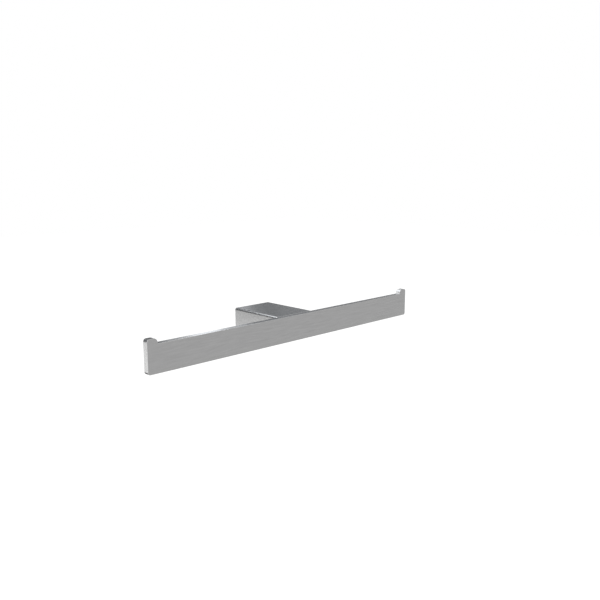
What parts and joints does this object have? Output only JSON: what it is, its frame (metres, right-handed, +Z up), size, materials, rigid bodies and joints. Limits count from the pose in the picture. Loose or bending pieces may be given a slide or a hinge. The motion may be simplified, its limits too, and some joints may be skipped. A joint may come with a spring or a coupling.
{
  "type": "double toilet roll holder",
  "caption": "Wall-mounted toilet roll holder: a flat bar with upturned ends, held at its middle by a box-shaped post that slides over a concealed wall bracket.",
  "frame": {"origin": "middle of the flat face that meets the wall, between the bracket's two slots", "axes": "+X along the bar, +Y into the wall, -Y towards the user, +Z up"},
  "size_m": [0.3, 0.0615, 0.0263],
  "materials": {
    "brushed_stainless": "satin, brushed along the length",
    "plain_stainless": "mill finish sheet",
    "fastener_steel": "plain stainless fasteners"
  },
  "bodies": {
    "root": {"roll_bar": "brushed_stainless", "post_sleeve": "brushed_stainless", "bar_screw_left": "fastener_steel", "bar_screw_right": "fastener_steel", "lock_washer_left": "fastener_steel", "lock_washer_right": "fastener_steel", "wall_bracket": "plain_stainless", "grub_screw": "fastener_steel"}
  },
  "joints": []
}
